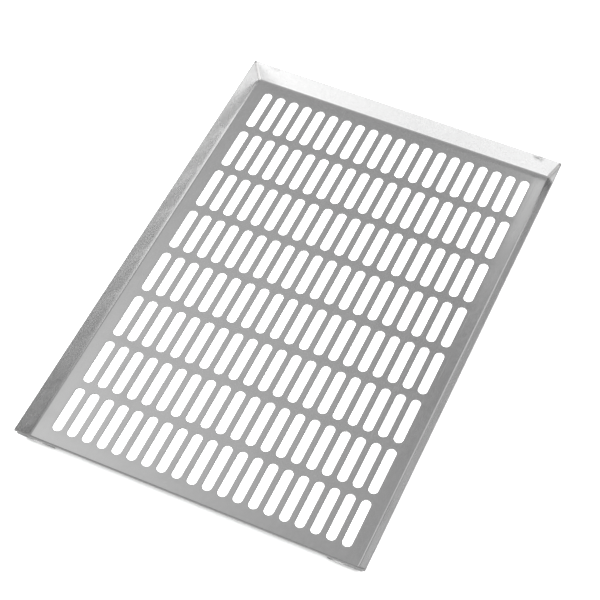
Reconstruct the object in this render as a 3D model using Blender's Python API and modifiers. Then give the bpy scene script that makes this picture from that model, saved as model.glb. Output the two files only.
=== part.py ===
"""Slotted baking tray for baguettes.

A single stainless sheet, punched with long slots, is folded up into four leaning walls.
Below the rim, each side wall runs on round the corner as a tab, which laps behind the end
wall. Above the tabs, the end walls reach out over the ends of the side walls, so the rim has
sharp corners. A seam weld closes the inside of every corner, and a tack weld lies along the
top edge of every tab.

Metres. +X runs across the tray, +Y along it, +Z up. The origin is at the middle of the
floor's underside.
"""
import math

import bmesh
import bpy
from mathutils import Matrix, Vector

# Driving dimensions
overall_length = 0.600              # along Y, over the end rims
overall_width = 0.400               # along X, over the side rims
overall_height = 0.020              # underside of the floor to the top of the rim
sheet = 0.0012                      # thickness of the stainless sheet
wall_angle = math.radians(62.0)     # slope of every wall above the floor
bend_radius = 0.0020                # inside radius of the bend between floor and wall
fold_radius = 0.0015                # inside radius of the fold that turns a corner, seen from above
tab_length = 0.034                  # how far a tab reaches behind its end wall
slot_width = 0.0106
slot_length = 0.0600                # end to end, round ends included
bridge_across = 0.0070              # sheet left between two slots side by side
bridge_along = 0.0091               # sheet left between two slots in line
least_margin = 0.012                # plain sheet kept between the slots and each bend
seam_radius = 0.0009                # bead of the corner seam weld
tack_radius = 0.0006                # bead of the tab tack weld
tack_length = 0.012
tack_inset = 0.002                  # from the end of the tab to its tack weld
joint_gap = 0.0003                  # clearance between pieces, or layers, that touch

# Fineness of the curved stretches
bend_steps = 4
fold_steps = 4
slot_sides = 12                     # sides of the two round ends together
bead_sides = 10

# The folded sheet, measured along its middle layer
half_sheet = sheet / 2
lean = 1 / math.tan(wall_angle)                     # outward run for each metre of height
level_half_sheet = half_sheet / math.sin(wall_angle)
bend_middle_radius = bend_radius + half_sheet
bend_run = bend_middle_radius * math.sin(wall_angle)
wall_foot_z = half_sheet + bend_middle_radius * (1 - math.cos(wall_angle))
wall_rim_z = overall_height - half_sheet * math.cos(wall_angle)
wall_run = (wall_rim_z - wall_foot_z) * lean
rim_edge_run = half_sheet * math.sin(wall_angle)
lap = (sheet + joint_gap) / math.sin(wall_angle)    # level step from an end wall out to its tab
floor_half_width = overall_width / 2 - rim_edge_run - wall_run - bend_run
floor_half_length = overall_length / 2 - rim_edge_run - wall_run - bend_run
side_foot_x = floor_half_width + bend_run
end_foot_y = floor_half_length + bend_run
tab_foot_y = end_foot_y + lap
tab_top_z = wall_rim_z - (lap + tack_radius) / lean     # tab and tack weld stay inside the rim line
tab_rise = tab_top_z - wall_foot_z
upper_rise = wall_rim_z - tab_top_z
side_wall_end_y = end_foot_y - level_half_sheet - joint_gap / math.sin(wall_angle)

# The slot pattern fills the floor and stays centred on it
pitch_across = slot_width + bridge_across
pitch_along = slot_length + bridge_along
slot_columns = int((2 * (floor_half_width - least_margin) + bridge_across) / pitch_across)
slot_rows = int((2 * (floor_half_length - least_margin) + bridge_along) / pitch_along)


def clear_scene():
    for old in list(bpy.data.objects):
        bpy.data.objects.remove(old, do_unlink=True)


def new_collection(name):
    collection = bpy.data.collections.new(name)
    bpy.context.scene.collection.children.link(collection)
    return collection


def metal(name, colour, roughness):
    material = bpy.data.materials.new(name)
    material.use_nodes = True
    shader = material.node_tree.nodes["Principled BSDF"]
    shader.inputs["Base Color"].default_value = (*colour, 1.0)
    shader.inputs["Roughness"].default_value = roughness
    shader.inputs["Metallic"].default_value = 1.0
    return material


def object_from(bm, name, collection, material=None):
    """Turn a bmesh into a named object with its round stretches shaded smooth."""
    mesh = bpy.data.meshes.new(name)
    bm.to_mesh(mesh)
    bm.free()
    mesh.shade_smooth()
    mesh.set_sharp_from_angle(angle=math.radians(40))
    if material:
        mesh.materials.append(material)
    made = bpy.data.objects.new(name, mesh)
    collection.objects.link(made)
    return made


def extrude_edges(bm, edges, move):
    """Extrude edges, shift each new corner by what move gives for it, return the new edges."""
    grown = bmesh.ops.extrude_edge_only(bm, edges=edges)["geom"]
    corners = [item for item in grown if isinstance(item, bmesh.types.BMVert)]
    for corner in corners:
        corner.co += move(corner.co)
    return [edge for edge in grown
            if isinstance(edge, bmesh.types.BMEdge) and all(v in corners for v in edge.verts)]


def extrude_corner(bm, corner, target):
    """Draw one edge out from a corner to a target point."""
    grown = bmesh.ops.extrude_vert_indiv(bm, verts=[corner])
    grown["verts"][0].co = target
    return grown["verts"][0], grown["edges"][0]


def bend_up(bm, edge, outward):
    """Roll the floor's edge up through the bend radius to the foot of the wall."""
    edges = [edge]
    for step in range(bend_steps):
        start = wall_angle * step / bend_steps
        stop = wall_angle * (step + 1) / bend_steps
        run = bend_middle_radius * (math.sin(stop) - math.sin(start))
        rise = bend_middle_radius * (math.cos(start) - math.cos(stop))
        edges = extrude_edges(bm, edges, lambda corner: outward * run + Vector((0, 0, rise)))
    return edges


def tab_path(side, end):
    """Points from the end of a side bend, round the corner fold, to the end of the tab."""
    fold_middle = fold_radius + level_half_sheet
    points = [Vector((side * side_foot_x, end * side_wall_end_y, wall_foot_z))]
    for step in range(fold_steps + 1):
        turn = math.pi / 2 * step / fold_steps
        x = side_foot_x - fold_middle * (1 - math.cos(turn))
        y = tab_foot_y - fold_middle * (1 - math.sin(turn))
        points.append(Vector((side * x, end * y, wall_foot_z)))
    points.append(Vector((side * (side_foot_x - tab_length), end * tab_foot_y, wall_foot_z)))
    return points


def add_side_wall(bm, floor_edge, side):
    """Side wall: bend, leaning wall, and the lower tab at each of its ends."""
    edges = bend_up(bm, floor_edge, Vector((side, 0, 0)))
    for corner in list(edges[0].verts):
        end = math.copysign(1, corner.co.y)
        for point in tab_path(side, end):
            corner, drawn = extrude_corner(bm, corner, point)
            edges.append(drawn)

    def climb(start, rise):
        along = 0.0
        if abs(start.y) > floor_half_length + joint_gap:
            along = math.copysign(rise * lean, start.y)
        return Vector((side * rise * lean, along, rise))

    edges = extrude_edges(bm, edges, lambda start: climb(start, tab_rise))
    wall_end = side_wall_end_y + tab_rise * lean + joint_gap / 2
    wall_edges = [edge for edge in edges if all(abs(v.co.y) < wall_end for v in edge.verts)]
    extrude_edges(bm, wall_edges, lambda start: climb(start, upper_rise))


def add_end_wall(bm, floor_edge, end):
    """End wall: bend and leaning wall, reaching out over the side walls above the tabs."""
    edges = bend_up(bm, floor_edge, Vector((0, end, 0)))

    def climb(start):
        return Vector((math.copysign(tab_rise * lean, start.x), end * tab_rise * lean, tab_rise))

    def reach_out(start):
        outward = math.copysign(overall_width / 2, start.x) - start.x
        return Vector((outward, end * upper_rise * lean, upper_rise))

    edges = extrude_edges(bm, edges, climb)
    extrude_edges(bm, edges, reach_out)


def slot_cutter(collection):
    """One prism for each slot: a round bar drawn out along the tray."""
    bm = bmesh.new()
    round_radius = slot_width / 2 / math.cos(math.pi / slot_sides)
    half_straight = (slot_length - slot_width) / 2
    turn = Matrix.Rotation(math.pi / slot_sides, 4, "Z")
    for column in range(slot_columns):
        for row in range(slot_rows):
            x = (column - (slot_columns - 1) / 2) * pitch_across
            y = (row - (slot_rows - 1) / 2) * pitch_along
            place = Matrix.Translation((x, y, half_sheet))
            bar = bmesh.ops.create_cone(bm, cap_ends=True, segments=slot_sides, radius1=round_radius,
                                        radius2=round_radius, depth=3 * sheet, matrix=place @ turn)
            for corner in bar["verts"]:
                corner.co.y += math.copysign(half_straight, corner.co.y - y)
    cutter = object_from(bm, "slot_cutter", collection)
    cutter.hide_render = True
    cutter.display_type = "WIRE"
    return cutter


def slotted_pan(collection, cutters, material):
    """The one folded sheet: floor, four walls and four lap tabs, then the slots."""
    bm = bmesh.new()
    size = Matrix.Diagonal((floor_half_width, floor_half_length, 1, 1))
    bmesh.ops.create_grid(bm, x_segments=1, y_segments=1, size=1,
                          matrix=Matrix.Translation((0, 0, half_sheet)) @ size)
    for edge in list(bm.edges):
        middle = (edge.verts[0].co + edge.verts[1].co) / 2
        if abs(middle.x) > abs(middle.y):
            add_side_wall(bm, edge, math.copysign(1, middle.x))
        else:
            add_end_wall(bm, edge, math.copysign(1, middle.y))
    bmesh.ops.recalc_face_normals(bm, faces=bm.faces)
    pan = object_from(bm, "slotted_pan", collection, material)

    thickness = pan.modifiers.new("sheet", "SOLIDIFY")
    thickness.thickness = sheet
    thickness.offset = 0
    thickness.use_even_offset = True
    punch = pan.modifiers.new("slots", "BOOLEAN")
    punch.object = slot_cutter(cutters)
    punch.operation = "DIFFERENCE"
    punch.solver = "EXACT"
    return pan


def weld_bead(name, top, bottom, radius, collection, material):
    """A round bead between two points, with rounded ends."""
    line = top - bottom
    place = Matrix.Translation((top + bottom) / 2) @ line.to_track_quat("Z", "Y").to_matrix().to_4x4()
    bm = bmesh.new()
    bmesh.ops.create_cone(bm, cap_ends=True, segments=bead_sides, radius1=radius, radius2=radius,
                          depth=line.length)
    bead = object_from(bm, name, collection, material)
    bead.matrix_world = place
    ends = bead.modifiers.new("rounded_ends", "BEVEL")
    ends.width = radius / 2
    ends.segments = 2
    ends.limit_method = "ANGLE"
    ends.angle_limit = math.radians(60)
    return bead


def corner_point(side, end, foot_x, foot_y, height):
    """A point on the line that climbs with a corner from its place at the wall's foot."""
    climb = (height - wall_foot_z) * lean
    return Vector((side * (foot_x + climb), end * (foot_y + climb), height))


def seam_weld(name, side, end, collection, material):
    """Bead down the inside of a corner, in the angle between the two walls."""
    inset = level_half_sheet + (seam_radius + joint_gap) / math.sin(wall_angle)
    foot_x = side_foot_x - inset
    foot_y = end_foot_y - inset
    top = corner_point(side, end, foot_x, foot_y, wall_rim_z - seam_radius)
    bottom = corner_point(side, end, foot_x, foot_y, wall_foot_z + seam_radius)
    return weld_bead(name, top, bottom, seam_radius, collection, material)


def tab_weld(name, side, end, collection, material):
    """Bead along the top edge of a tab, near its end, against the outer face of the end wall."""
    reach = tack_radius + joint_gap
    up_wall = lap * math.cos(wall_angle) + tab_rise / math.sin(wall_angle) + reach
    off_wall = half_sheet + reach
    y = end_foot_y + up_wall * math.cos(wall_angle) + off_wall * math.sin(wall_angle)
    z = wall_foot_z + up_wall * math.sin(wall_angle) - off_wall * math.cos(wall_angle)
    inner_x = side_foot_x + tab_rise * lean - tab_length + tack_inset
    start = Vector((side * inner_x, end * y, z))
    stop = Vector((side * (inner_x + tack_length), end * y, z))
    return weld_bead(name, stop, start, tack_radius, collection, material)


def build():
    clear_scene()
    tray = new_collection("baguette_tray")
    cutters = new_collection("cutters")
    stainless = metal("stainless_sheet", (0.62, 0.62, 0.62), 0.28)
    weld_metal = metal("weld_metal", (0.47, 0.45, 0.43), 0.45)
    slotted_pan(tray, cutters, stainless)
    for end, end_name in ((-1, "front"), (1, "back")):
        for side, side_name in ((-1, "left"), (1, "right")):
            corner = f"{end_name}_{side_name}"
            seam_weld(f"seam_weld_{corner}", side, end, tray, weld_metal)
            tab_weld(f"tab_weld_{corner}", side, end, tray, weld_metal)


build()
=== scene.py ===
# %% [markdown]
# # A slotted baguette tray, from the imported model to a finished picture
#
# The real object is one sheet of stainless steel. It is punched with long slots, folded up
# into four leaning walls, and welded at its corners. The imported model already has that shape
# at its true size, but it is drawn with few facets. This lesson keeps its sizes and makes the
# surfaces again, finely enough for metal, which shows every flat and every hard corner.

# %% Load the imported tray
import math

import bmesh
import bpy
from mathutils import Matrix, Vector, noise


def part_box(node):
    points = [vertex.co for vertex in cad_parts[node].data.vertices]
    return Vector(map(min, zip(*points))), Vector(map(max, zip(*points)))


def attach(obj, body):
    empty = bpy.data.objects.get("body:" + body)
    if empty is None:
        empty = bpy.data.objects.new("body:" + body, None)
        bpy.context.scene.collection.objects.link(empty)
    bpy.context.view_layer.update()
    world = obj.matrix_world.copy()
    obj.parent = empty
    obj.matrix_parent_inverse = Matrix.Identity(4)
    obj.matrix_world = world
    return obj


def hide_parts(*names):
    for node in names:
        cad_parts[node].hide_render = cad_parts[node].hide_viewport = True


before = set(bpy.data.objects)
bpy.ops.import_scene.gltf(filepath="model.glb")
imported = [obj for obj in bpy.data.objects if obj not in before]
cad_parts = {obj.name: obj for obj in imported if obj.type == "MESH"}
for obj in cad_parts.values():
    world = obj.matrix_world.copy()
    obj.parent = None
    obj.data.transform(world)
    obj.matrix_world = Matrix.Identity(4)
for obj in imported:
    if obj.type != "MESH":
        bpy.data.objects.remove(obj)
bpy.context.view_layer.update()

print("packed pieces:", sorted(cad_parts))

# %% [markdown]
# ## The folded sheet in numbers
#
# A folded sheet is easiest to describe by its middle layer: the flat floor, an arc for each
# bend, and a straight wall. Thickness is added at the end, half to each side. The outer sizes
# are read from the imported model. The sheet, the slope and the radii are the maker's own
# values, and everything else follows from them.

# %% Sizes of the sheet
_, pan_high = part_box("slotted_pan")
sheet = 0.0012
wall_angle = math.radians(62)
bend_radius = 0.0020
fold_radius = 0.0015
tab_length = 0.034
joint_gap = 0.0003
tack_radius = 0.0006
rim_height = 0.020

half_sheet = sheet / 2
level_half_sheet = half_sheet / math.sin(wall_angle)
bend_middle = bend_radius + half_sheet
bend_run = bend_middle * math.sin(wall_angle)
wall_foot_z = half_sheet + bend_middle * (1 - math.cos(wall_angle))
wall_rim_z = rim_height - half_sheet * math.cos(wall_angle)
wall_rise = wall_rim_z - wall_foot_z
lean = 1 / math.tan(wall_angle)
wall_run = wall_rise * lean
lap = (sheet + joint_gap) / math.sin(wall_angle)
side_foot_x = pan_high.x - half_sheet * math.sin(wall_angle) - wall_run
end_foot_y = pan_high.y - half_sheet * math.sin(wall_angle) - wall_run
tab_foot_y = end_foot_y + lap
side_wall_end_y = end_foot_y - level_half_sheet - joint_gap / math.sin(wall_angle)
tab_rise = wall_rise - (lap + tack_radius) / lean
upper_rise = wall_rise - tab_rise
floor_x = side_foot_x - bend_run
floor_y = end_foot_y - bend_run
print("flat floor, mm:", round(2000 * floor_x, 1), "x", round(2000 * floor_y, 1))

# %% Sizes of the slots
slot_width = 0.0106
slot_length = 0.0600
pitch_across = slot_width + 0.0070
pitch_along = slot_length + 0.0091
slot_columns = 20
slot_rows = 8
print("slots:", slot_columns * slot_rows)

# %% [markdown]
# ## A floor woven from slot cells
#
# The slots could be cut with a Boolean, but that leaves one huge face with long splinters in
# it, and neither a gentle warp nor clean shading works on those. So the floor is laid out in
# cells instead, one for each slot: rings of small faces lead from the slot's edge out to the
# cell's straight border. Neighbouring cells have the same points on their border, so they
# merge into one mesh.

# %% One slot cell
arc_steps = 12
straight_steps = 6
half_straight = (slot_length - slot_width) / 2
land = 0.0009                       # width of the first ring, beside the punched edge


def slot_point(radius, turn, along):
    """A point round a slot: turn runs round the two ends, along moves down the straights."""
    end = half_straight if math.sin(turn) > 1e-9 else -half_straight
    if abs(math.sin(turn)) < 1e-9:
        end = along
    return Vector((radius * math.cos(turn), end + radius * math.sin(turn), half_sheet))


def cell_point(turn, along):
    """The matching point on the cell's border, where 45 degrees leads to a corner of the cell."""
    if abs(math.sin(turn)) < 1e-9:
        return Vector((math.copysign(pitch_across / 2, math.cos(turn)), along, half_sheet))
    upright = math.copysign(1, math.sin(turn))
    heading = math.degrees(math.atan2(math.sin(turn), math.cos(turn)))
    sector = abs(heading - 90 * upright)
    sideways = math.copysign(1, math.cos(turn))
    if sector <= 45 + 1e-6:
        return Vector((sideways * pitch_across / 2 * sector / 45, upright * pitch_along / 2, half_sheet))
    share = (90 - sector) / 45
    reach = half_straight + (pitch_along / 2 - half_straight) * share
    return Vector((sideways * pitch_across / 2, upright * reach, half_sheet))


def cell_stations():
    """Turn and along for each station round a slot, anticlockwise from the right side."""
    stations = []
    for step in range(straight_steps + 1):
        stations.append((0.0, half_straight * (2 * step / straight_steps - 1)))
    for step in range(1, arc_steps):
        stations.append((math.pi * step / arc_steps, 0.0))
    for step in range(straight_steps + 1):
        stations.append((math.pi, half_straight * (1 - 2 * step / straight_steps)))
    for step in range(1, arc_steps):
        stations.append((math.pi + math.pi * step / arc_steps, 0.0))
    return stations


def add_cell(bm, centre):
    """Three rings of points round one slot, joined by faces."""
    rings = []
    for radius in (slot_width / 2, slot_width / 2 + land, None):
        ring = []
        for turn, along in cell_stations():
            spot = cell_point(turn, along) if radius is None else slot_point(radius, turn, along)
            ring.append(bm.verts.new(centre + spot))
        rings.append(ring)
    for inner, outer in zip(rings, rings[1:]):
        for i in range(len(inner)):
            j = (i + 1) % len(inner)
            bm.faces.new((inner[i], outer[i], outer[j], inner[j]))


print("points round a slot:", len(cell_stations()))

# %% The whole floor
def growing_edges(bm, wanted):
    """Open edges whose middle satisfies wanted."""
    found = []
    for edge in bm.edges:
        if len(edge.link_faces) == 1 and wanted((edge.verts[0].co + edge.verts[1].co) / 2):
            found.append(edge)
    return found


def extrude(bm, edges, move):
    """Extrude edges, shift each new point by what move gives for it, return the new edges."""
    grown = bmesh.ops.extrude_edge_only(bm, edges=edges)["geom"]
    fresh = {item for item in grown if isinstance(item, bmesh.types.BMVert)}
    for point in fresh:
        point.co += move(point.co)
    return [edge for edge in grown if isinstance(edge, bmesh.types.BMEdge) and set(edge.verts) <= fresh]


def floor_mesh():
    bm = bmesh.new()
    for column in range(slot_columns):
        for row in range(slot_rows):
            x = (column - (slot_columns - 1) / 2) * pitch_across
            y = (row - (slot_rows - 1) / 2) * pitch_along
            add_cell(bm, Vector((x, y, 0)))
    bmesh.ops.remove_doubles(bm, verts=bm.verts, dist=0.00001)
    field_x = slot_columns * pitch_across / 2
    field_y = slot_rows * pitch_along / 2
    for side in (-1, 1):
        edges = growing_edges(bm, lambda c: abs(c.x - side * field_x) < 1e-5)
        for _ in range(2):
            edges = extrude(bm, edges, lambda c: Vector((side * (floor_x - field_x) / 2, 0, 0)))
    for end in (-1, 1):
        edges = growing_edges(bm, lambda c: abs(c.y - end * field_y) < 1e-5)
        for _ in range(2):
            edges = extrude(bm, edges, lambda c: Vector((0, end * (floor_y - field_y) / 2, 0)))
    return bm


pan_mesh = floor_mesh()
print("floor faces:", len(pan_mesh.faces))

# %% [markdown]
# ## Walls and lap tabs
#
# The walls are drawn out of the floor's own edges, as the folding machine turns them up from
# the same blank. Each side wall is longer than the floor: it goes on round the corner as a
# tab behind the end wall. Its foot line is drawn first, point by point round the fold, and
# the whole line is then pulled up and outwards in a few steps.

# %% Turn the walls up
bend_steps = 8
fold_steps = 8
wall_steps = 4


def bend_up(bm, edges, outward):
    for step in range(bend_steps):
        start = wall_angle * step / bend_steps
        stop = wall_angle * (step + 1) / bend_steps
        run = bend_middle * (math.sin(stop) - math.sin(start))
        rise = bend_middle * (math.cos(start) - math.cos(stop))
        edges = extrude(bm, edges, lambda c: outward * run + Vector((0, 0, rise)))
    return edges


def tab_path(side, end):
    """The foot line from the end of a side bend, round the fold, to the end of the tab."""
    fold_middle = fold_radius + level_half_sheet
    path = [Vector((side * side_foot_x, end * side_wall_end_y, wall_foot_z))]
    for step in range(fold_steps + 1):
        turn = math.pi / 2 * step / fold_steps
        x = side_foot_x - fold_middle * (1 - math.cos(turn))
        y = tab_foot_y - fold_middle * (1 - math.sin(turn))
        path.append(Vector((side * x, end * y, wall_foot_z)))
    straight = path[-1]
    for step in range(1, 7):
        reach = (tab_length - fold_middle) * step / 6
        path.append(straight - Vector((side * reach, 0, 0)))
    return path


def climb_in_steps(bm, edges, climb, rise, steps):
    """Extrude edges upwards by rise in steps, where climb gives the shift for a small rise."""
    for _ in range(steps):
        edges = extrude(bm, edges, lambda c: climb(c, rise / steps))
    return edges


def raise_side_wall(bm, side):
    edges = growing_edges(bm, lambda c: abs(c.x - side * floor_x) < 1e-5)
    edges = bend_up(bm, edges, Vector((side, 0, 0)))
    tips = [v for e in edges for v in e.verts if abs(abs(v.co.y) - floor_y) < 1e-5]
    for tip in set(tips):
        end = math.copysign(1, tip.co.y)
        for spot in tab_path(side, end):
            drawn = bmesh.ops.extrude_vert_indiv(bm, verts=[tip])
            tip = drawn["verts"][0]
            tip.co = spot
            edges.append(drawn["edges"][0])

    def climb(c, rise):
        along = math.copysign(rise * lean, c.y) if abs(c.y) > floor_y + joint_gap else 0.0
        return Vector((side * rise * lean, along, rise))

    edges = climb_in_steps(bm, edges, climb, tab_rise, wall_steps)
    wall_end = side_wall_end_y + tab_rise * lean + joint_gap / 2
    wall_edges = [e for e in edges if all(abs(v.co.y) < wall_end for v in e.verts)]
    climb_in_steps(bm, wall_edges, climb, upper_rise, 2)


def raise_end_wall(bm, end):
    edges = growing_edges(bm, lambda c: abs(c.y - end * floor_y) < 1e-5 and abs(c.x) < floor_x)
    edges = bend_up(bm, edges, Vector((0, end, 0)))

    def climb(c, rise):
        half_width = floor_x + (c.z - wall_foot_z) * lean
        return Vector((rise * lean * c.x / half_width, end * rise * lean, rise))

    edges = climb_in_steps(bm, edges, climb, tab_rise, wall_steps)
    tip_x = floor_x + tab_rise * lean
    flare = (pan_high.x - tip_x) / upper_rise

    def reach_out(c, rise):
        half_width = tip_x + (c.z - wall_foot_z - tab_rise) * flare
        return Vector((rise * flare * c.x / half_width, end * rise * lean, rise))

    climb_in_steps(bm, edges, reach_out, upper_rise, 2)


for side in (-1, 1):
    raise_side_wall(pan_mesh, side)
for end in (-1, 1):
    raise_end_wall(pan_mesh, end)
bmesh.ops.recalc_face_normals(pan_mesh, faces=pan_mesh.faces)
print("sheet faces:", len(pan_mesh.faces))

# %% [markdown]
# ## A sheet that isn't quite flat
#
# Punching and welding leave thin sheet a little uneven. The floor stands up by as much as three
# tenths of a millimetre between its bends and swells here and there. The side walls move inwards
# and the end walls outwards, by up to about a tenth of a millimetre, and the end walls stand out
# most at their tack welds. A bump map could suggest this, but moving the mesh also bends the
# long reflections, and these give metal its look. The wall shifts are largest below the rim and
# small at it, and the finished tray still lies inside its packed size.

# %% Swell the floor and dimple the walls
floor_crown = 0.00010               # how far the whole floor stands up between its bends
floor_swell = 0.00016               # height of its lumps
crown_margin = 0.013                # strip beside a bend over which the floor comes down to it
wall_swell = 0.00012
tack_pull = 0.00022                 # depth of the dimple at a tack weld
tack_low, tack_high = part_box("tab_weld_back_right")
tack_spot = (tack_low + tack_high) / 2


def ease(value, start, stop):
    """0 before start, 1 after stop, and smooth between."""
    share = min(1.0, max(0.0, (value - start) / (stop - start)))
    return share * share * (3 - 2 * share)


def swell(spot, size):
    """Slow noise from 0 to 1, with lumps of about size."""
    return 0.5 + 0.5 * noise.noise(spot / size + Vector((3.7, 1.9, 0.0)))


def make_uneven(c):
    if c.z < half_sheet + 1e-6:
        inside = ease(floor_x - abs(c.x), 0, crown_margin) * ease(floor_y - abs(c.y), 0, crown_margin)
        lumps = swell(c, 0.055) + 0.5 * swell(c, 0.024)
        return Vector((0, 0, inside * (floor_crown + floor_swell * lumps)))
    share = ease(c.z, wall_foot_z, rim_height) * (1 - 0.7 * ease(c.z, 0.014, rim_height))
    bulge = wall_swell * share * swell(c, 0.05)
    if abs(c.y) < end_foot_y - 0.001:
        return Vector((-math.copysign(bulge, c.x), 0, 0))
    near = math.hypot((abs(c.x) - tack_spot.x) / 0.010, (c.z - tack_spot.z) / 0.006)
    pull = tack_pull * math.exp(-near * near) * share
    return Vector((0, math.copysign(abs(pull - bulge), c.y), 0))


for v in pan_mesh.verts:
    v.co += make_uneven(v.co.copy())
highest = max(v.co.z for v in pan_mesh.verts if abs(v.co.x) < floor_x and abs(v.co.y) < floor_y)
print("floor swells, mm:", round(1000 * (highest - half_sheet), 3))

# %% [markdown]
# ## From a middle layer to a real sheet
#
# Solidify gives the layer its thickness, half to each side, as the numbers above expect. It also
# gives the cut edge its own material, because sheared metal is duller than the rolled face. A
# fine Bevel takes the sharpness off every cut edge, the way a deburring belt does, and Weighted
# Normal keeps the wide faces looking flat right up to it.

# %% Give the sheet its thickness
edge_round = 0.00018


def mesh_object(bm, name):
    mesh = bpy.data.meshes.new(name)
    bm.to_mesh(mesh)
    bm.free()
    mesh.shade_smooth()
    made = bpy.data.objects.new(name, mesh)
    bpy.context.scene.collection.objects.link(made)
    return made


pan = mesh_object(pan_mesh, "folded_sheet")
thickness = pan.modifiers.new("sheet", "SOLIDIFY")
thickness.thickness = sheet
thickness.offset = 0
thickness.use_even_offset = True
thickness.material_offset_rim = 1
edges = pan.modifiers.new("deburred_edges", "BEVEL")
edges.width = edge_round
edges.segments = 2
edges.limit_method = "ANGLE"
edges.angle_limit = math.radians(50)
edges.material = 1
shading = pan.modifiers.new("even_shading", "WEIGHTED_NORMAL")
shading.keep_sharp = True
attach(pan, "root")
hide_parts("slotted_pan")
print("visible sheet made")

# %% [markdown]
# ## Seam welds
#
# Each corner is closed on the inside by a weld that starts as a small puddle over the open
# corner of the two bends and runs up to the tip of the rim. It is wider on the end wall,
# because it has to bridge the gap beside that wall. A tube along the corner would look like a
# wire laid in it. So the bead is lofted: every section is stretched between a point on each
# wall, with a low crown that carries the small ripples of the weld pool.

# %% Sections of a seam bead
end_leg = 0.0024                    # from the corner line to the bead's edge on the end wall
side_leg = 0.0017
toe_leg = 0.0007                    # both legs where the bead starts on the floor
crown = 0.00014                     # height of the bead's face above the line between its edges
ripple = 0.00003
ripple_pitch = 0.0011
ripple_lag = 0.35                   # how far the edges of a ripple trail its middle, in pitches
bead_sink = 0.0001                  # how deep its edges are melted into the walls
bead_root = 0.0003                  # how far it reaches into the gap between the walls
section_points = 9


def corner_stations():
    """Offset from the floor's corner, height and slope of the inner faces, from toe to tip."""
    stations = [(-0.0004, sheet, 0.0)]
    for step in range(13):
        turn = wall_angle * step / 12
        stations.append((bend_radius * math.sin(turn), sheet + bend_radius * (1 - math.cos(turn)), turn))
    start_run, start_z, _ = stations[-1]
    tip_z = rim_height - 0.0002
    climbs = 64
    for step in range(1, climbs + 1):
        z = start_z + (tip_z - start_z) * step / climbs
        stations.append((start_run + (z - start_z) * lean, z, wall_angle))
    return stations


def bead_section(run, z, turn, along):
    """One closed section in the corner where x and y are both positive."""
    width = ease(turn, 0, wall_angle)
    taper = 1 - 0.75 * ease(z, rim_height - 0.0012, rim_height) if width else 0.45 + 0.55 * (run >= 0)
    leg_x = taper * (toe_leg + (end_leg - toe_leg) * width)
    leg_y = taper * (toe_leg + (side_leg - toe_leg) * width)
    corner = Vector((floor_x + run, floor_y + run, z))
    on_side = corner - Vector((0, leg_y, 0))
    on_end = corner - Vector((leg_x, 0, 0))
    side_normal = Vector((-math.sin(turn), 0, math.cos(turn)))
    end_normal = Vector((0, -math.sin(turn), math.cos(turn)))
    points = [on_side - bead_sink * side_normal]
    for step in range(section_points):
        u = 2 * step / (section_points - 1) - 1
        arch = taper * (1 - u * u)
        wave = math.cos(2 * math.pi * (along / ripple_pitch + ripple_lag * u * u))
        middle = on_side.lerp(on_end, (u + 1) / 2)
        outward = (side_normal + end_normal).normalized()
        points.append(middle + (crown * arch + ripple * arch * wave) * outward)
    points.append(on_end - bead_sink * end_normal)
    points.append(corner + bead_root * Vector((1, 1, -math.cos(turn))))
    return points


print("sections in a seam bead:", len(corner_stations()))

# %% Loft the four seam beads
def loft(bm, sections):
    """Join closed sections, given as lists of points, into one closed skin."""
    rings = [[bm.verts.new(point) for point in section] for section in sections]
    for lower, upper in zip(rings, rings[1:]):
        for i in range(len(lower)):
            j = (i + 1) % len(lower)
            bm.faces.new((lower[i], lower[j], upper[j], upper[i]))
    bm.faces.new(rings[0][::-1])
    bm.faces.new(rings[-1])
    bmesh.ops.recalc_face_normals(bm, faces=bm.faces)


def seam_bead(name, side, end):
    sections = []
    along = 0.0
    last = None
    for run, z, turn in corner_stations():
        spot = Vector((run, run, z))
        along += (spot - last).length if last else 0.0
        last = spot
        points = bead_section(run, z, turn, along)
        sections.append([Vector((side * p.x, end * p.y, p.z)) for p in points])
    bm = bmesh.new()
    loft(bm, sections)
    return mesh_object(bm, name)


corners = []
for end, end_name in ((-1, "front"), (1, "back")):
    for side, side_name in ((-1, "left"), (1, "right")):
        corners.append((side, end, f"{end_name}_{side_name}"))
welds = []
for side, end, corner_name in corners:
    bead = seam_bead(f"seam_bead_{corner_name}", side, end)
    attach(bead, "root")
    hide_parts(f"seam_weld_{corner_name}")
    welds.append(bead)
print("seam beads:", len(welds))

# %% [markdown]
# ## Tack welds behind the end walls
#
# A short bead lies along the top edge of each tab and holds it to the wall. Its place and its
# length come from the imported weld. The section is round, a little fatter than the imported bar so
# that it bites into both sheets, and it swells and sinks with each drop of the weld.

# %% Loft the four tack beads
tack_fat = 0.00072
tack_sink = 0.00024
tack_stations = 48
tack_sides = 12


def tack_bead(name, end, packed):
    low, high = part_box(packed)
    middle = (low + high) / 2
    length = high.x - low.x
    into_wall = Vector((0, -end * math.sin(wall_angle), math.cos(wall_angle)))
    down_wall = Vector((0, -end * math.cos(wall_angle), -math.sin(wall_angle)))
    centre = middle + tack_sink * into_wall + tack_sink * down_wall
    sections = []
    for step in range(tack_stations + 1):
        share = 2 * step / tack_stations - 1
        round_end = math.sqrt(max(0.02, 1 - share ** 8))
        drop = 0.95 + 0.05 * math.cos(math.pi * length * share / ripple_pitch)
        radius = tack_fat * round_end * drop
        points = []
        for corner in range(tack_sides):
            turn = 2 * math.pi * corner / tack_sides
            chevron = 0.0002 * math.cos(turn)
            x = centre.x + length / 2 * share + chevron * round_end
            y = centre.y + radius * math.cos(turn)
            points.append(Vector((x, y, centre.z + radius * math.sin(turn))))
        sections.append(points)
    bm = bmesh.new()
    loft(bm, sections)
    return mesh_object(bm, name)


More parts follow.
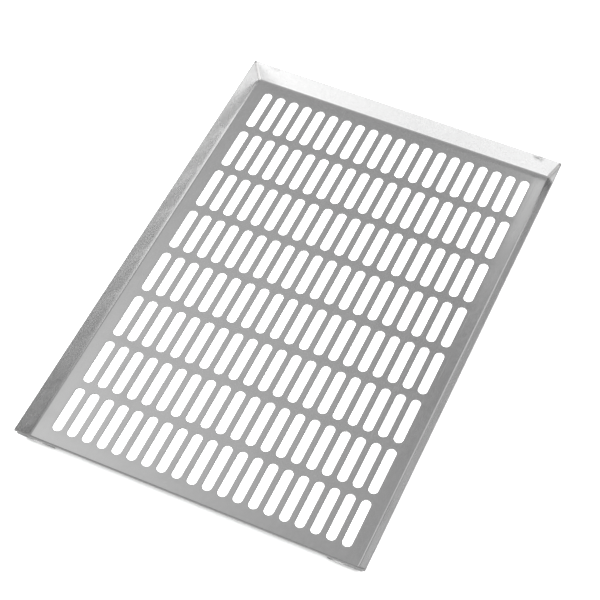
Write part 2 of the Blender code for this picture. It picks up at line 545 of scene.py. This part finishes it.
for _, end, corner_name in corners:
    bead = tack_bead(f"tack_bead_{corner_name}", end, f"tab_weld_{corner_name}")
    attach(bead, "root")
    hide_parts(f"tab_weld_{corner_name}")
    welds.append(bead)
print("all weld beads:", len(welds))

# %% [markdown]
# ## Rolled stainless
#
# The sheet is bought with a satin rolled face. Seen close, it has hair-fine lines along the
# rolling direction, a soft mottle, faint wipe marks, a few scratches, and grey heat marks where
# the tacks were welded on the other side. One sheet is folded, so the lines keep the blank's
# direction up every wall. That is why the grain is stretched along both Y and Z: its lines lie
# in planes across X, on the floor and on all four walls. The walls are made a little more matt
# than the floor, which keeps their reflections of the slots soft, and the end walls get a
# fine frost.

# %% Helpers for materials
def metal(name, roughness):
    material = bpy.data.materials.new(name)
    material.use_nodes = True
    shader = material.node_tree.nodes["Principled BSDF"]
    shader.inputs["Metallic"].default_value = 1.0
    shader.inputs["Roughness"].default_value = roughness
    return material, material.node_tree, shader


def add(tree, kind, inputs=None, **settings):
    """Add a node, set its properties, and fill its inputs with values or with other outputs."""
    made = tree.nodes.new(kind)
    for name, value in settings.items():
        setattr(made, name, value)
    for socket, value in (inputs or {}).items():
        if isinstance(value, bpy.types.NodeSocket):
            tree.links.new(value, made.inputs[socket])
        else:
            made.inputs[socket].default_value = value
    return made


def calc(tree, operation, *values):
    return add(tree, "ShaderNodeMath", dict(enumerate(values)), operation=operation).outputs[0]


def blend(tree, share, start, stop):
    """start where share is 0, stop where it is 1."""
    step = calc(tree, "SUBTRACT", stop, start)
    return calc(tree, "ADD", start, calc(tree, "MULTIPLY", share, step))


def plus(tree, base, mask, amount):
    """base, and amount more where mask is 1."""
    return calc(tree, "ADD", base, calc(tree, "MULTIPLY", mask, amount))


def grey(tree, tone):
    """A colour whose three channels all equal tone."""
    return add(tree, "ShaderNodeCombineColor", {0: tone, 1: tone, 2: tone}).outputs[0]


def position_mm(tree):
    place = add(tree, "ShaderNodeTexCoord").outputs["Object"]
    inputs = {0: place, 1: (1000, 1000, 1000)}
    return add(tree, "ShaderNodeVectorMath", inputs, operation="MULTIPLY").outputs[0]


def cloud(tree, place, per_mm, detail=2.0, turn=0.0):
    """Noise from 0 to 1, with its own number of lumps per millimetre along each axis."""
    stretch = {"Vector": place, "Rotation": (0, 0, math.radians(turn)), "Scale": per_mm}
    mapped = add(tree, "ShaderNodeMapping", stretch).outputs[0]
    lumps = {"Vector": mapped, "Scale": 1.0, "Detail": detail}
    return add(tree, "ShaderNodeTexNoise", lumps).outputs["Fac"]


def window(tree, value, start, stop):
    """0 up to start, 1 from stop on."""
    ramp = add(tree, "ShaderNodeMapRange", {"Value": value, "From Min": start, "From Max": stop})
    ramp.interpolation_type = "SMOOTHSTEP"
    return ramp.outputs["Result"]


def bump(tree, height, depth, below=None):
    """A Bump node whose full height is depth metres, on top of the bump below it."""
    made = add(tree, "ShaderNodeBump", {"Height": height, "Strength": 1.0, "Distance": depth})
    if below:
        tree.links.new(below, made.inputs["Normal"])
    return made.outputs["Normal"]


print("material helpers ready")

# %% Rolled face
stainless, steel, face = metal("rolled_stainless", 0.17)
place = position_mm(steel)
grain = cloud(steel, place, (2.4, 0.03, 0.03), 3.0)
mottle = cloud(steel, place, (0.22, 0.16, 0.22), 5.0)
speckle = cloud(steel, place, (0.9, 0.7, 0.9), 2.0)
blotches = window(steel, cloud(steel, place, (0.30, 0.30, 0.42), 3.0), 0.40, 0.60)
wiped = window(steel, cloud(steel, place, (0.010, 0.022, 0.03), 3.0, 25), 0.50, 0.72)
scratch_a = window(steel, cloud(steel, place, (0.75, 0.012, 0.3), 1.0, 32), 0.70, 0.74)
scratch_b = window(steel, cloud(steel, place, (0.9, 0.016, 0.3), 1.0, -61), 0.71, 0.75)
scratches = calc(steel, "MAXIMUM", scratch_a, scratch_b)
print("nodes in the layers of the rolled face:", len(steel.nodes))

# %% Heat marks over the tack welds
mark_half_width = 8.0               # mm, along the rim
mark_half_height = 6.0              # mm, down from the rim
axes = add(steel, "ShaderNodeSeparateXYZ", {0: place}).outputs
beside_middle = calc(steel, "ABSOLUTE", axes["X"])
across = calc(steel, "SUBTRACT", beside_middle, 1000 * tack_spot.x)
from_rim = calc(steel, "SUBTRACT", axes["Z"], 1000 * rim_height)
mark_x = calc(steel, "DIVIDE", across, mark_half_width)
mark_z = calc(steel, "DIVIDE", from_rim, mark_half_height)
square_x = calc(steel, "MULTIPLY", mark_x, mark_x)
square_z = calc(steel, "MULTIPLY", mark_z, mark_z)
mark_r = calc(steel, "SQRT", calc(steel, "ADD", square_x, square_z))
mark_edge = blend(steel, mottle, 0.55, 1.45)
outside_mark = window(steel, calc(steel, "DIVIDE", mark_r, mark_edge), 0.55, 1.15)
inside_mark = calc(steel, "SUBTRACT", 1.0, outside_mark)
end_wall_y = 1000 * (end_foot_y - 0.001)
on_end = calc(steel, "GREATER_THAN", calc(steel, "ABSOLUTE", axes["Y"]), end_wall_y)
strength = window(steel, axes["X"], -300, 150)      # the marks on the left are fainter
heat = calc(steel, "MULTIPLY", calc(steel, "MULTIPLY", inside_mark, strength), on_end)
heat = calc(steel, "MULTIPLY", heat, blend(steel, blotches, 0.25, 1.0))
print("heat marks at, mm:", round(1000 * tack_spot.x, 1), "from the middle")

# %% Join the layers on the shader
on_wall = window(steel, axes["Z"], 1.5, 5.0)
rough = blend(steel, mottle, 0.145, 0.205)
for mask, amount in ((grain, 0.03), (wiped, 0.035), (scratches, 0.06), (heat, 0.16), (on_wall, 0.07)):
    rough = plus(steel, rough, mask, amount)
steel.links.new(rough, face.inputs["Roughness"])
burnt = calc(steel, "MULTIPLY", heat, speckle)
frost = calc(steel, "MULTIPLY", window(steel, speckle, 0.46, 0.66), on_end)
tone = blend(steel, mottle, 0.59, 0.65)
for mask, amount in ((wiped, -0.02), (burnt, -0.55), (frost, -0.05)):
    tone = plus(steel, tone, mask, amount)
steel.links.new(grey(steel, tone), face.inputs["Base Color"])
relief = None
for layer, depth in ((mottle, 2.2e-6), (speckle, 1.8e-6), (grain, 1.2e-6), (scratches, 1.5e-6)):
    relief = bump(steel, layer, depth, relief)
steel.links.new(relief, face.inputs["Normal"])
print("nodes in the rolled face:", len(steel.nodes))

# %% [markdown]
# ## Cut edges and weld metal
#
# The punch and the shear leave a dull edge with fine lines straight through the sheet, and a
# belt has dragged over it. The weld metal has been brushed, but stays rougher and less even
# than the sheet. Its ripples are in the mesh already, so its material only adds the scale
# between them and a few pits.

# %% Cut edge
cut_edge, cut, edge_shader = metal("cut_edge", 0.38)
edge_place = position_mm(cut)
drag = cloud(cut, edge_place, (1.6, 1.6, 0.25), 3.0)
nicks = window(cut, cloud(cut, edge_place, (0.5, 0.5, 0.9), 2.0), 0.58, 0.75)
edge_rough = plus(cut, blend(cut, drag, 0.30, 0.46), nicks, 0.08)
edge_tone = plus(cut, blend(cut, drag, 0.50, 0.60), nicks, -0.06)
edge_relief = bump(cut, nicks, 0.00001, bump(cut, drag, 0.000008))
cut.links.new(edge_rough, edge_shader.inputs["Roughness"])
cut.links.new(grey(cut, edge_tone), edge_shader.inputs["Base Color"])
cut.links.new(edge_relief, edge_shader.inputs["Normal"])
pan.data.materials.append(stainless)
pan.data.materials.append(cut_edge)
print("pan materials:", [m.name for m in pan.data.materials])

# %% Weld metal
weld_metal, bead_tree, bead_shader = metal("weld_metal", 0.34)
bead_place = position_mm(bead_tree)
scale = cloud(bead_tree, bead_place, (0.8, 0.8, 0.8), 4.0)
pits = window(bead_tree, cloud(bead_tree, bead_place, (2.5, 2.5, 2.5), 2.0), 0.62, 0.72)
bead_rough = plus(bead_tree, blend(bead_tree, scale, 0.24, 0.42), pits, 0.12)
bead_relief = bump(bead_tree, pits, 0.00002, bump(bead_tree, scale, 0.00003))
bead_tree.links.new(bead_rough, bead_shader.inputs["Roughness"])
bead_tree.links.new(bead_relief, bead_shader.inputs["Normal"])
ramp = add(bead_tree, "ShaderNodeValToRGB", {"Fac": scale})
ramp.color_ramp.elements[0].color = (0.52, 0.515, 0.51, 1)
ramp.color_ramp.elements[0].position = 0.3
ramp.color_ramp.elements[1].color = (0.70, 0.695, 0.69, 1)
ramp.color_ramp.elements[1].position = 0.7
bead_tree.links.new(ramp.outputs["Color"], bead_shader.inputs["Base Color"])
for bead in welds:
    bead.data.materials.append(weld_metal)
print("beads with weld metal:", len(welds))

# %% [markdown]
# ## Studio
#
# Metal shows its surroundings, so the studio is a set of soft panels rather than lamps. They
# are part of the world: each is a direction with a soft falloff round it, added to an even
# base. A panel of negative strength is a black flag, which takes light away. A wide softbox
# overhead lights only the white paper under the tray, and is hidden from reflections, so the
# paper stays plain and almost without shadow. Two grey cards lie just above the paper, one
# under the slots and one all round. Only reflections see them. The one all round is there
# because paper as white as this would burn out the outer faces of the walls. The darker one
# under the slots is painted shade: it stands in for the shadowed paper under the tray, as the
# slots show it in the walls' reflections.

# %% Paper
paper_half = 2.5


def lay_sheet(name, half_width, half_length, z):
    bm = bmesh.new()
    size = Matrix.Diagonal((half_width, half_length, 1, 1))
    place = Matrix.Translation((0, 0, z)) @ size
    bmesh.ops.create_grid(bm, x_segments=1, y_segments=1, size=1, matrix=place)
    return mesh_object(bm, name)


paper_sheet = lay_sheet("studio_floor", paper_half, paper_half, -0.0002)
paper = bpy.data.materials.new("white_paper")
paper.use_nodes = True
paper_tree = paper.node_tree
paper_shader = paper_tree.nodes["Principled BSDF"]
fibre = blend(paper_tree, cloud(paper_tree, position_mm(paper_tree), (0.3, 0.3, 0.3), 4.0), 0.89, 0.93)
paper_tree.links.new(grey(paper_tree, fibre), paper_shader.inputs["Base Color"])
paper_shader.inputs["Roughness"].default_value = 0.9
paper_shader.inputs["Specular IOR Level"].default_value = 0.2
paper_sheet.data.materials.append(paper)
print("paper laid")

# %% Grey cards under and round the tray
def lay_card(name, half_width, half_length, z, shade):
    card = lay_sheet(name, half_width, half_length, z)
    card.visible_camera = False
    card.visible_shadow = False
    card.visible_diffuse = False
    board = bpy.data.materials.new(name)
    board.use_nodes = True
    board_shader = board.node_tree.nodes["Principled BSDF"]
    board_shader.inputs["Base Color"].default_value = (shade, shade, shade, 1)
    board_shader.inputs["Roughness"].default_value = 0.9
    card.data.materials.append(board)


# painted shade: a dark card that only reflections see, standing in for the shadowed paper under the tray
lay_card("painted_shade_card_under", floor_x, floor_y, -0.0001, 0.23)
lay_card("studio_card_round", paper_half, paper_half, -0.00015, 0.38)
print("cards laid")

# %% Panels in the world
world = bpy.data.worlds.new("studio")
bpy.context.scene.world = world
world.use_nodes = True
sky = world.node_tree
base_light = 0.40
panels = {                          # azimuth and elevation it shines from, spread, strength
    "left_high": (45, 58, 9, 0.57),
    "left_middle": (56, 40, 7, 0.80),
    "left_low": (48, 12, 8, 1.1),
    "left_side": (101, 4, 9, 1.5),
    "overhead": (0, 86, 12, 0.45),
    "overhead_flag": (25, 65.5, 4, -0.38),
    "back_glint": (4, 48, 2.2, 2.6),
    "back_flag": (9, 53.5, 3.2, -0.3),
    "right_back": (-40, 20, 9, 1.2),
    "right_low": (-50, 9, 4.5, 1.5),
    "right_low_front": (-56.5, 9.5, 2.8, 1.5),
    "right_low_flag": (-66, 10, 5, -0.5),
    "front_right_high": (-118, 29, 13, 2.7),
    "front_left_low": (146, 15, 9, 2.0),
    "front_left": (161, 8, 4.0, 1.2),
    "front": (174, 8, 3.2, 0.3),
    "front_right": (184, 8, 6, 2.0),
    "front_far_right": (195, 8, 7, 4.0),
    "front_upper": (172, 26, 13, 1.2),
}


def facing(azimuth, elevation):
    """Unit vector from the tray: azimuth 0 is towards its back, 90 towards its left."""
    a, e = math.radians(azimuth), math.radians(elevation)
    return Vector((-math.sin(a) * math.cos(e), math.cos(a) * math.cos(e), math.sin(e)))


direction = add(sky, "ShaderNodeTexCoord").outputs["Generated"]
light = base_light
for azimuth, elevation, spread, strength in panels.values():
    pair = {0: direction, 1: facing(azimuth, elevation)}
    towards = add(sky, "ShaderNodeVectorMath", pair, operation="DOT_PRODUCT").outputs["Value"]
    miss = calc(sky, "SUBTRACT", towards, 1.0)
    falloff = calc(sky, "EXPONENT", calc(sky, "MULTIPLY", miss, 1 / math.radians(spread) ** 2))
    light = plus(sky, light, falloff, strength)
seen = add(sky, "ShaderNodeLightPath").outputs["Is Camera Ray"]
sky.links.new(blend(sky, seen, light, 1.0), sky.nodes["Background"].inputs["Strength"])
sky.nodes["Background"].inputs["Color"].default_value = (1, 1, 1, 1)
print("panels:", len(panels))

# %% Softbox for the paper
lamp = bpy.data.lights.new("overhead_softbox", "AREA")
lamp.shape = "SQUARE"
lamp.size = 4.0
lamp.energy = 400
overhead = bpy.data.objects.new("overhead_softbox", lamp)
overhead.location = (0, 0, 3.0)
bpy.context.scene.collection.objects.link(overhead)
overhead.visible_glossy = False
print("softbox, m:", lamp.size)

# %% [markdown]
# ## Camera
#
# The tray is seen from the front and a little from the right, from about half way up, with a
# long lens that keeps its sides nearly parallel. The camera's place is worked out from the two
# angles and the distance, and a slight roll tilts the picture as a hand-held shot does.

# %% Place the camera
camera_azimuth = math.radians(22.60)
camera_elevation = math.radians(52.48)
camera_distance = 2.0493
camera_roll = math.radians(1.893)
aim = Vector((-0.00365, -0.00252, 0.0))
level = math.cos(camera_elevation)
back_x = math.sin(camera_azimuth) * level
back_y = -math.cos(camera_azimuth) * level
back = Vector((back_x, back_y, math.sin(camera_elevation)))
lens = bpy.data.cameras.new("camera")
lens.lens = 109.66
camera = bpy.data.objects.new("camera", lens)
bpy.context.scene.collection.objects.link(camera)
camera.location = aim + camera_distance * back
upright = (-back).to_track_quat("-Z", "Y").to_matrix()
camera.rotation_mode = "QUATERNION"
camera.rotation_quaternion = (upright @ Matrix.Rotation(camera_roll, 3, "Z")).to_quaternion()
bpy.context.scene.camera = camera
bpy.context.scene.view_settings.view_transform = "Standard"
